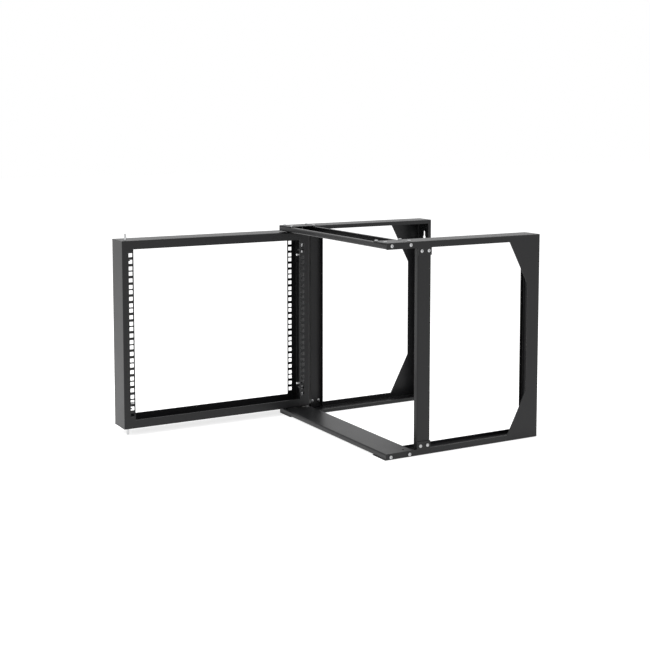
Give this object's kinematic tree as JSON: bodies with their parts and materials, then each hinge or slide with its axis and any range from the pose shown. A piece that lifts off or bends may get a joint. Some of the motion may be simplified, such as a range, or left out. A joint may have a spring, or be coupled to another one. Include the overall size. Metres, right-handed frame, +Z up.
{
  "type": "wall mount open frame rack",
  "caption": "Open frame wall rack: two folded side frames joined by front bars, with a 19 inch swing frame hinged on spring bolts at the left.",
  "frame": {"origin": "on the wall plane, midway between the two lower wall holes, 40 mm above the base", "axes": "+X to the right when facing the wall, +Y into the wall, +Z up"},
  "size_m": [0.557, 0.8661, 0.4929],
  "materials": {
    "frame_coat": "fine textured black powder coat",
    "zinc": "bright zinc plate",
    "spring_steel": "bright spring wire",
    "nylon": "natural nylon"
  },
  "bodies": {
    "wall_frame": {"side_frame_left": "frame_coat", "side_frame_right": "frame_coat", "post_left": "frame_coat", "post_right": "frame_coat", "top_bar": "frame_coat", "bottom_plate": "frame_coat", "bar_screws": "zinc", "bar_nuts": "zinc", "post_screws": "zinc", "post_nuts": "zinc", "hinge_washer_lower": "nylon"},
    "swing_frame": {"swing_rail_hinge": "frame_coat", "swing_rail_latch": "frame_coat", "swing_top_bar": "frame_coat", "swing_bottom_bar": "frame_coat", "hinge_washer_upper": "nylon", "bracket_hinge_bottom": "frame_coat", "bracket_hinge_top": "frame_coat", "bracket_latch_bottom": "frame_coat", "bracket_latch_top": "frame_coat", "spring_hinge_bottom": "spring_steel", "spring_hinge_top": "spring_steel", "spring_latch_bottom": "spring_steel", "spring_latch_top": "spring_steel"},
    "bolt_hinge_bottom": {"bolt_hinge_bottom": "zinc", "clip_hinge_bottom": "zinc"},
    "bolt_hinge_top": {"bolt_hinge_top": "zinc", "clip_hinge_top": "zinc"},
    "bolt_latch_bottom": {"bolt_latch_bottom": "zinc", "clip_latch_bottom": "zinc"},
    "bolt_latch_top": {"bolt_latch_top": "zinc", "clip_latch_top": "zinc"}
  },
  "joints": [
    {"name": "swing_hinge", "type": "hinge", "parent": "wall_frame", "child": "swing_frame", "pos_m": [-0.24005, -0.373, 0.20503], "axis": [0, 0, 1], "range_deg": [0, 90]},
    {"name": "bolt_slide_hinge_bottom", "type": "slide", "parent": "swing_frame", "child": "bolt_hinge_bottom", "axis": [0, 0, 1], "range_m": [0, 0.017], "stiffness_N_per_m": 400, "springref_m": -0.03, "deforming": ["spring_hinge_bottom"]},
    {"name": "bolt_slide_hinge_top", "type": "slide", "parent": "swing_frame", "child": "bolt_hinge_top", "axis": [0, 0, -1], "range_m": [0, 0.017], "stiffness_N_per_m": 400, "springref_m": -0.03, "deforming": ["spring_hinge_top"]},
    {"name": "bolt_slide_latch_bottom", "type": "slide", "parent": "swing_frame", "child": "bolt_latch_bottom", "axis": [0, 0, 1], "range_m": [0, 0.017], "deforming": ["spring_latch_bottom"]},
    {"name": "bolt_slide_latch_top", "type": "slide", "parent": "swing_frame", "child": "bolt_latch_top", "axis": [0, 0, -1], "range_m": [0, 0.017], "deforming": ["spring_latch_top"]}
  ],
  "couplings": [
    {"joint": "bolt_slide_latch_bottom", "follows": "swing_hinge", "m_per_rad": 0.0108},
    {"joint": "bolt_slide_latch_top", "follows": "swing_hinge", "m_per_rad": 0.0108}
  ]
}
